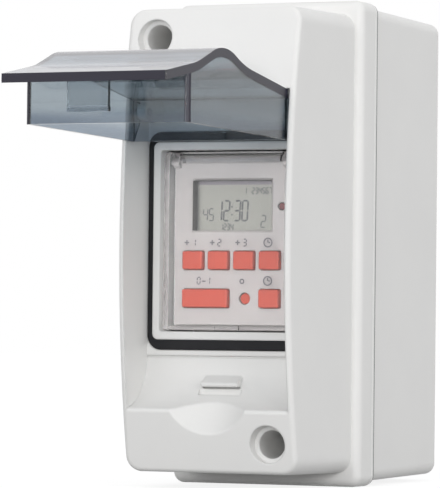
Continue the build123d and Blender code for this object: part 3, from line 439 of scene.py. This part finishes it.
def upright_corners(tree):
    """Rounded corners of the lid's collar, painted dark because light runs a long way along them."""
    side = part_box("smoked_lid")[1].x
    place = split(tree, "Object")
    squared = calculated(tree, "MULTIPLY", place["X"], place["X"])
    beside = calculated(tree, "GREATER_THAN", squared, (side - COLLAR_CORNER_BAND) ** 2)
    before = calculated(tree, "LESS_THAN", place["Y"], COLLAR_FRONT + COLLAR_CORNER_BAND)
    corner = calculated(tree, "MULTIPLY", beside, before)
    under = calculated(tree, "SUBTRACT", 1, above_panel(tree))
    return calculated(tree, "MULTIPLY", corner, under)


def cut_edges(tree, surface):
    """Shade painted on the cut edges of the lid's panel and the corners of its collar, as a dark surface
    mixed over them.
    """
    edge = tree.nodes.new("ShaderNodeBsdfPrincipled")
    edge.inputs["Base Color"].default_value = (*CUT_EDGE_SHADE_COLOUR, 1)
    edge.inputs["Roughness"].default_value = CUT_EDGE_ROUGHNESS
    edge.inputs["Specular IOR Level"].default_value = CUT_EDGE_GLOSS
    # A dark surface mixed in as painted shade where light runs a long way through the plastic
    band = calculated(tree, "MULTIPLY", above_panel(tree), sideways(tree))
    band = calculated(tree, "MAXIMUM", band, upright_corners(tree))
    amount = calculated(tree, "MULTIPLY", band, CUT_EDGE_SHADE_SHARE)
    return mixed_surface(tree, amount, surface, edge.outputs["BSDF"])


def lid_surface(tree, surface):
    """Shade painted on the edges of the lid, and fine streaks that catch the light on top of its panel."""
    surface = cut_edges(tree, surface)
    upward = tree.nodes.new("ShaderNodeMapRange")
    upward.inputs["From Min"].default_value = HAZE_FROM_SLOPE
    upward.inputs["From Max"].default_value = HAZE_FULL_SLOPE
    tree.links.new(split(tree, "Normal")["Z"], upward.inputs["Value"])
    geometry = tree.nodes.new("ShaderNodeNewGeometry")
    outside = calculated(tree, "SUBTRACT", 1, geometry.outputs["Backfacing"])
    top = calculated(tree, "MULTIPLY", upward.outputs["Result"], outside)
    streaks = smooth_noise(tree, STREAK_SCALE, NOISE_DETAIL, STREAK_STRETCH)
    amount = calculated(tree, "MULTIPLY", top, number_between(tree, streaks, HAZE_LEAST, HAZE_MOST))
    haze = tree.nodes.new("ShaderNodeBsdfDiffuse")
    haze.inputs["Color"].default_value = (*HAZE_COLOUR, 1)
    return mixed_surface(tree, amount, surface, haze.outputs["BSDF"])


def circuit_board(name):
    """Solder mask with faint tracks under it."""
    material, tree, shader = empty_material(name)
    place = tree.nodes.new("ShaderNodeTexCoord")
    tracks = tree.nodes.new("ShaderNodeTexBrick")
    tracks.inputs["Scale"].default_value = TRACK_SCALE
    for socket, colour in TRACK_COLOURS.items():
        tracks.inputs[socket].default_value = (*colour, 1)
    tree.links.new(place.outputs["Object"], tracks.inputs["Vector"])
    tree.links.new(tracks.outputs["Color"], shader.inputs["Base Color"])
    fine = smooth_noise(tree, BOARD_SCALE, NOISE_DETAIL)
    tree.links.new(number_between(tree, fine, *BOARD_ROUGHNESS), shader.inputs["Roughness"])
    rounded_bump(tree, shader, tracks.outputs["Fac"], TRACK_RELIEF, 0)
    return material


materials = {
    "box_plastic": moulded("box_plastic", (0.800, 0.795, 0.780), (0.780, 0.775, 0.762), 0.42, edge=0.7 * MM),
    "black_rubber": moulded("black_rubber", (0.014, 0.014, 0.016), (0.022, 0.022, 0.024), 0.62, 900,
                            0.03 * MM, gloss=0.2),
    "smoked_plastic": clear("smoked_plastic", (0.545, 0.615, 0.66), 1000, 0.015, (0.95, 0.95, 0.95),
                            lid=True),
    "steel": moulded("steel", (0.56, 0.56, 0.57), (0.47, 0.47, 0.48), 0.3, 2600, metallic=1.0),
    "zinc_steel": moulded("zinc_steel", (0.62, 0.63, 0.62), (0.52, 0.53, 0.54), 0.38, 300, metallic=1.0,
                          stretch=(0.1, 4, 4)),
    "timer_plastic": moulded("timer_plastic", (0.62, 0.63, 0.63), (0.58, 0.59, 0.60), 0.48),
    "clip_plastic": moulded("clip_plastic", (0.02, 0.02, 0.022), (0.035, 0.035, 0.037), 0.45),
    "face_plastic": moulded("face_plastic", (0.462, 0.434, 0.430), (0.441, 0.415, 0.411), 0.5, 2600,
                            0.008 * MM),
    "clear_plastic": clear("clear_plastic", (0.6, 0.6, 0.62), 25, 0.01, (0.96, 0.96, 0.96)),
    "display_glass": display("display_glass", (0.325, 0.322, 0.290), (0.309, 0.309, 0.277)),
    "dark_plastic": moulded("dark_plastic", (0.02, 0.02, 0.02), (0.03, 0.03, 0.03), 0.5),
    "grey_rubber": moulded("grey_rubber", (0.15, 0.15, 0.155), (0.18, 0.18, 0.185), 0.65, 1100, 0.02 * MM),
    "circuit_board": circuit_board("circuit_board"),
    "lamp_plastic": moulded("lamp_plastic", (0.10, 0.006, 0.010), (0.15, 0.008, 0.014), 0.2, edge=0,
                            coat=0.3),
    "cell_steel": moulded("cell_steel", (0.66, 0.66, 0.66), (0.58, 0.58, 0.58), 0.25, 900, metallic=1.0),
    "terminal_brass": moulded("terminal_brass", (0.70, 0.52, 0.22), (0.58, 0.42, 0.17), 0.35, 1600,
                              metallic=1.0),
    "relay_plastic": moulded("relay_plastic", (0.012, 0.05, 0.24), (0.016, 0.06, 0.28), 0.3),
    "capacitor_plastic": moulded("capacitor_plastic", (0.50, 0.33, 0.02), (0.44, 0.29, 0.02), 0.3),
    "key_plastic": moulded("key_plastic", (0.515, 0.052, 0.020), (0.48, 0.046, 0.018), 0.4, 2200, 0.01 * MM,
                           0.3 * MM, gloss=0.35),
    "print_ink": moulded("print_ink", (0.10, 0.095, 0.11), (0.14, 0.13, 0.15), 0.6, edge=0),
    "segment_ink": moulded("segment_ink", (0.075, 0.08, 0.085), (0.095, 0.10, 0.105), 0.4, edge=0),
}


def dress_nodes():
    """Gives every node the material of its slot in the record."""
    for part in frame["record"]["subparts"]:
        mesh = nodes[part["node"]].data
        mesh.materials.clear()
        mesh.materials.append(materials[part["material_slot"]])


def add_block(mesh, outline, back, front):
    """Block with an outline in X and Z, between two depths."""
    far = [mesh.verts.new((x, -back, z)) for x, z in outline]
    near = [mesh.verts.new((x, -front, z)) for x, z in outline]
    mesh.faces.new(near)
    mesh.faces.new(far[::-1])
    for i in range(len(outline)):
        j = (i + 1) % len(outline)
        mesh.faces.new((near[i], far[i], far[j], near[j]))


def add_ring(mesh, outer, inner, back, front):
    """Closed ring between two outlines of as many points, between two depths."""
    loops = []
    for outline, depth in ((outer, back), (outer, front), (inner, front), (inner, back)):
        loops.append([mesh.verts.new((x, -depth, z)) for x, z in outline])
    for first, second in zip(loops, loops[1:] + loops[:1]):
        for i in range(len(outer)):
            j = (i + 1) % len(outer)
            mesh.faces.new((first[i], first[j], second[j], second[i]))


def front_piece(name, material, back, front, outlines=(), rings=()):
    """Piece of the enclosure made of blocks and rings between two depths."""
    build = bmesh.new()
    for outline in outlines:
        add_block(build, outline, back, front)
    for outer, inner in rings:
        add_ring(build, outer, inner, back, front)
    bmesh.ops.recalc_face_normals(build, faces=build.faces)
    mesh = bpy.data.meshes.new(name)
    build.to_mesh(mesh)
    build.free()
    mesh.materials.append(materials[material])
    piece = bpy.data.objects.new(name, mesh)
    bpy.context.scene.collection.objects.link(piece)
    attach(piece, "enclosure")


def foremost(name):
    """Y of the foremost point of a node."""
    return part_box(name)[0].y


def segment(start, end, width):
    """Six-sided display segment between two points."""
    start = Vector(start)
    end = Vector(end)
    along = (end - start).normalized()
    across = Vector((-along.y, along.x)) * width / 2
    tip = along * (SEGMENT_GAP + width / 2)
    near = start + along * SEGMENT_GAP
    far = end - along * SEGMENT_GAP
    return [near, start + tip + across, end - tip + across, far, end - tip - across, start + tip - across]


LIT_SEGMENTS = {
    "0": "abcdef", "1": "bc", "2": "abged", "3": "abgcd",
    "4": "fgbc", "5": "afgcd", "6": "afgedc", "7": "abc",
}


def digit(character, x, z, share, stretch):
    """Outlines of one seven-segment digit whose lower left corner is at a place."""
    width = DIGIT_WIDTH * share * stretch
    height = DIGIT_HEIGHT * share
    corners = {
        "a": ((0, height), (width, height)), "b": ((width, height / 2), (width, height)),
        "c": ((width, 0), (width, height / 2)), "d": ((0, 0), (width, 0)),
        "e": ((0, 0), (0, height / 2)), "f": ((0, height / 2), (0, height)),
        "g": ((0, height / 2), (width, height / 2)),
    }
    outlines = []
    for letter in LIT_SEGMENTS[character]:
        start, end = corners[letter]
        shape = segment(start, end, max(SEGMENT_WIDTH * share, SEGMENT_LEAST))
        outlines.append([(x + point.x + point.y * DIGIT_SLANT, z + point.y) for point in shape])
    return outlines


def square(x, z, half):
    """Outline of a small square."""
    return [(x - half, z - half), (x + half, z - half), (x + half, z + half), (x - half, z + half)]


def bar(start, end, width):
    """Outline of a straight line with a width."""
    start = Vector(start)
    end = Vector(end)
    along = (end - start).normalized()
    across = Vector((-along.y, along.x)) * width / 2
    return [tuple(start + across), tuple(end + across), tuple(end - across), tuple(start - across)]


def circle(x, z, radius):
    """Points of a circle."""
    turns = [math.tau * i / CIRCLE_STEPS for i in range(CIRCLE_STEPS)]
    return [(x + radius * math.cos(turn), z + radius * math.sin(turn)) for turn in turns]


def round_line(x, z, radius):
    """Outer and inner outline of a printed circle."""
    return circle(x, z, radius + SYMBOL_LINE / 2), circle(x, z, radius - SYMBOL_LINE / 2)


def rounded_outline(half_x, half_z, corner):
    """Points of a rounded rectangle round the middle of the part."""
    points = []
    for quarter, (side_x, side_z) in enumerate(((1, 1), (-1, 1), (-1, -1), (1, -1))):
        for step in range(CORNER_STEPS + 1):
            turn = math.radians(90) * (quarter + step / CORNER_STEPS)
            points.append((side_x * (half_x - corner) + corner * math.cos(turn),
                           side_z * (half_z - corner) + corner * math.sin(turn)))
    return points


def number(characters, x, z, share, stretch):
    """Outlines of a row of digits whose lower left corner is at a place."""
    outlines = []
    for place, character in enumerate(characters):
        outlines += digit(character, x + place * DIGIT_PITCH * share * stretch, z, share, stretch)
    return outlines


def display_marks():
    """Seconds, time and day number on the display, with small numbers over and under them."""
    low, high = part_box("lcd_glass")
    back = -low.y + MARK_LIFT
    foot = (low.z + high.z) / 2 - TIME_FOOT
    outlines = [square(COLON_X, foot + DIGIT_HEIGHT * share, COLON_HALF) for share in COLON_HEIGHTS]
    for figures, x, above, share, stretch in DISPLAY_NUMBERS:
        outlines += number(figures, x, foot + above, share, stretch)
    front_piece("display_digits", "segment_ink", back, back + MARK_THICKNESS, outlines)


def display_surround_shade():
    """Thin dark wall that lines only the left side and the top of the display window: a dark holder, and a
    stand-in for the shade there.
    """
    low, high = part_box("lcd_glass")
    top = (low.z + high.z) / 2 + WINDOW_ABOVE_MIDDLE - MARK_LIFT
    bottom = top - 2 * (WINDOW_HALF_HEIGHT - MARK_LIFT)
    side = WINDOW_HALF_WIDTH - MARK_LIFT
    inner_x = -side + SURROUND_WALL
    inner_z = top - SURROUND_WALL
    lining = [
        (-side, bottom), (inner_x, bottom), (inner_x, inner_z),
        (side, inner_z), (side, top), (-side, top),
    ]
    front = -foremost("timer_bezel") - SURROUND_SINK
    front_piece("display_surround_shade", "dark_plastic", -low.y, front, [lining])


def seam_shadow_ring():
    """Black ring that stands in for the shadow in the gap between cover and box, as a dark line in the seam.
    """
    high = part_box("front_cover")[1]
    outer = rounded_outline(high.x - SEAM_SINK, high.z - SEAM_SINK, SEAM_CORNER)
    inner = rounded_outline(high.x - SEAM_ROOT, high.z - SEAM_ROOT, SEAM_CORNER - SEAM_ROOT + SEAM_SINK)
    back = -high.y - SEAM_HALF
    front = back + 2 * SEAM_HALF
    front_piece("seam_shadow_ring", "black_rubber", back, front, rings=[(outer, inner)])


def over_key(name):
    """Middle of a key in X, and the height of its top."""
    low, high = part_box(f"button_{name}")
    return (low.x + high.x) / 2, high.z


def clock_hands(x, z):
    """Outlines of the two hands of a small dial."""
    return [
        bar((x, z), (x, z + SYMBOL_SIZE * LONG_HAND), SYMBOL_LINE),
        bar((x + SYMBOL_LINE / 2, z), (x + SYMBOL_SIZE * SHORT_HAND, z), SYMBOL_LINE),
    ]


def plus(x, z):
    """Outlines of a plus sign."""
    half = SYMBOL_SIZE / 2
    return [
        bar((x - half, z), (x + half, z), SYMBOL_LINE),
        bar((x, z + SYMBOL_LINE / 2), (x, z + half), SYMBOL_LINE),
        bar((x, z - half), (x, z - SYMBOL_LINE / 2), SYMBOL_LINE),
    ]


def face_marks():
    """Plus signs, numbers and plain round symbols printed over the keys."""
    back = -foremost("timer_bezel")
    outlines = []
    rings = []
    for figure, name in enumerate(("minute", "hour", "day"), start=1):
        x, top = over_key(name)
        middle = top + SYMBOL_RISE
        outlines += plus(x - SYMBOL_SIZE, middle)
        base = middle - DIGIT_HEIGHT * LABEL_SHARE / 2
        outlines += digit(str(figure), x + SYMBOL_SIZE * FIGURE_SHIFT, base, LABEL_SHARE, LABEL_STRETCH)
    for name in ("program", "clock"):
        x, top = over_key(name)
        outlines += clock_hands(x, top + SYMBOL_RISE)
        rings.append(round_line(x, top + SYMBOL_RISE, SYMBOL_SIZE * DIAL_RADIUS))
    x, top = over_key("manual")
    base = top + SYMBOL_RISE - DIGIT_HEIGHT * LABEL_SHARE / 2
    middle = base + LABEL_MIDDLE
    outlines += digit("0", x + ZERO_X, base, LABEL_SHARE, LABEL_STRETCH)
    outlines.append(bar((x - DASH_HALF, middle), (x + DASH_HALF, middle), SYMBOL_LINE))
    outlines += digit("1", x + ONE_X, base, LABEL_SHARE, LABEL_STRETCH)
    x, top = over_key("reset")
    rings.append(round_line(x, middle, SYMBOL_SIZE * RESET_RADIUS))
    front_piece("face_symbols", "print_ink", back, back + MARK_THICKNESS, outlines, rings)


def make_world():
    """Even light, with a white surround for what the camera, gloss and clear pieces see."""
    world = bpy.data.worlds.new("studio")
    bpy.context.scene.world = world
    world.use_nodes = True
    tree = world.node_tree
    tree.nodes.clear()
    light = tree.nodes.new("ShaderNodeBackground")
    light.inputs["Color"].default_value = (*WORLD_COLOUR, 1)
    light.inputs["Strength"].default_value = WORLD_STRENGTH
    white = tree.nodes.new("ShaderNodeBackground")
    white.inputs["Strength"].default_value = 1.0
    white.inputs["Color"].default_value = (1, 1, 1, 1)
    out = tree.nodes.new("ShaderNodeOutputWorld")
    backgrounds = (light.outputs["Background"], white.outputs["Background"])
    tree.links.new(mixed_surface(tree, seen_directly(tree), *backgrounds), out.inputs["Surface"])


def seen_directly(tree):
    """One for rays of the camera, of gloss and through clear pieces."""
    path = tree.nodes.new("ShaderNodeLightPath")
    total = path.outputs["Is Camera Ray"]
    for kind in ("Is Glossy Ray", "Is Transmission Ray"):
        total = calculated(tree, "MAXIMUM", total, path.outputs[kind])
    return total


def make_floor():
    """Pale floor that takes the object's shadow and looks white."""
    height = cad_box[0].z - FLOOR_GAP
    mesh = bpy.data.meshes.new("floor")
    corners = [(-FLOOR_HALF, -FLOOR_HALF), (FLOOR_HALF, -FLOOR_HALF), (FLOOR_HALF, FLOOR_HALF),
               (-FLOOR_HALF, FLOOR_HALF)]
    mesh.from_pydata([(x, y, height) for x, y in corners], [], [(0, 1, 2, 3)])
    floor = bpy.data.objects.new("floor", mesh)
    bpy.context.scene.collection.objects.link(floor)
    material, tree, shader = empty_material("floor_paper")
    shader.inputs["Base Color"].default_value = (FLOOR_BOUNCE, FLOOR_BOUNCE, FLOOR_BOUNCE, 1)
    shader.inputs["Roughness"].default_value = FLOOR_ROUGHNESS
    paper = tree.nodes.new("ShaderNodeBsdfDiffuse")
    paper.inputs["Color"].default_value = (*PAPER_COLOUR, 1)
    white = tree.nodes.new("ShaderNodeEmission")
    white.inputs["Strength"].default_value = FLOOR_WHITE
    papers = (paper.outputs["BSDF"], white.outputs["Emission"])
    pale = mixed_surface(tree, 1 - FLOOR_SHADOW_SHARE, *papers)
    surface = mixed_surface(tree, seen_directly(tree), shader.outputs["BSDF"], pale)
    tree.links.new(surface, tree.nodes["Material Output"].inputs["Surface"])
    mesh.materials.append(material)


def area_light(name, place, size, power, colour):
    """Soft square lamp that looks at the middle of the object."""
    data = bpy.data.lights.new(name, "AREA")
    data.size = size
    data.energy = power
    data.color = colour
    lamp = bpy.data.objects.new(name, data)
    lamp.location = place
    lamp.rotation_euler = (CAMERA_TARGET - Vector(place)).to_track_quat("-Z", "Y").to_euler()
    bpy.context.scene.collection.objects.link(lamp)


def make_lights():
    """Key from above on the left, a broad fill from the right and a low lamp in front."""
    for lamp in LAMPS:
        area_light(*lamp)


def make_camera():
    """Camera at the photograph's view."""
    back = Vector((math.sin(CAMERA_AZIMUTH) * math.cos(CAMERA_ELEVATION),
                   -math.cos(CAMERA_AZIMUTH) * math.cos(CAMERA_ELEVATION),
                   math.sin(CAMERA_ELEVATION)))
    right = (-back).cross(Vector((0, 0, 1))).normalized()
    up = right.cross(-back)
    rolled_right = right * math.cos(CAMERA_ROLL) + up * math.sin(CAMERA_ROLL)
    rolled_up = up * math.cos(CAMERA_ROLL) - right * math.sin(CAMERA_ROLL)
    metres_per_px = CAMERA_DISTANCE / CAMERA_FOCAL_PX
    aside = (TARGET_PX[0] - PHOTO_WIDTH_PX / 2) * metres_per_px
    above = (TARGET_PX[1] - PHOTO_HEIGHT_PX / 2) * metres_per_px
    data = bpy.data.cameras.new("camera")
    data.sensor_width = SENSOR_WIDTH_MM
    data.lens = CAMERA_FOCAL_PX * SENSOR_WIDTH_MM / PHOTO_HEIGHT_PX
    data.clip_start = CLIP_NEAR
    data.clip_end = CLIP_FAR
    camera = bpy.data.objects.new("camera", data)
    bpy.context.scene.collection.objects.link(camera)
    place = CAMERA_TARGET + back * CAMERA_DISTANCE - rolled_right * aside + rolled_up * above
    turn = Matrix((rolled_right, rolled_up, back)).transposed().to_4x4()
    camera.matrix_world = Matrix.Translation(place) @ turn
    bpy.context.scene.camera = camera


dress_nodes()
display_surround_shade()
seam_shadow_ring()
display_marks()
face_marks()
make_world()
make_floor()
make_lights()
make_camera()
bpy.context.scene.view_settings.view_transform = "Standard"
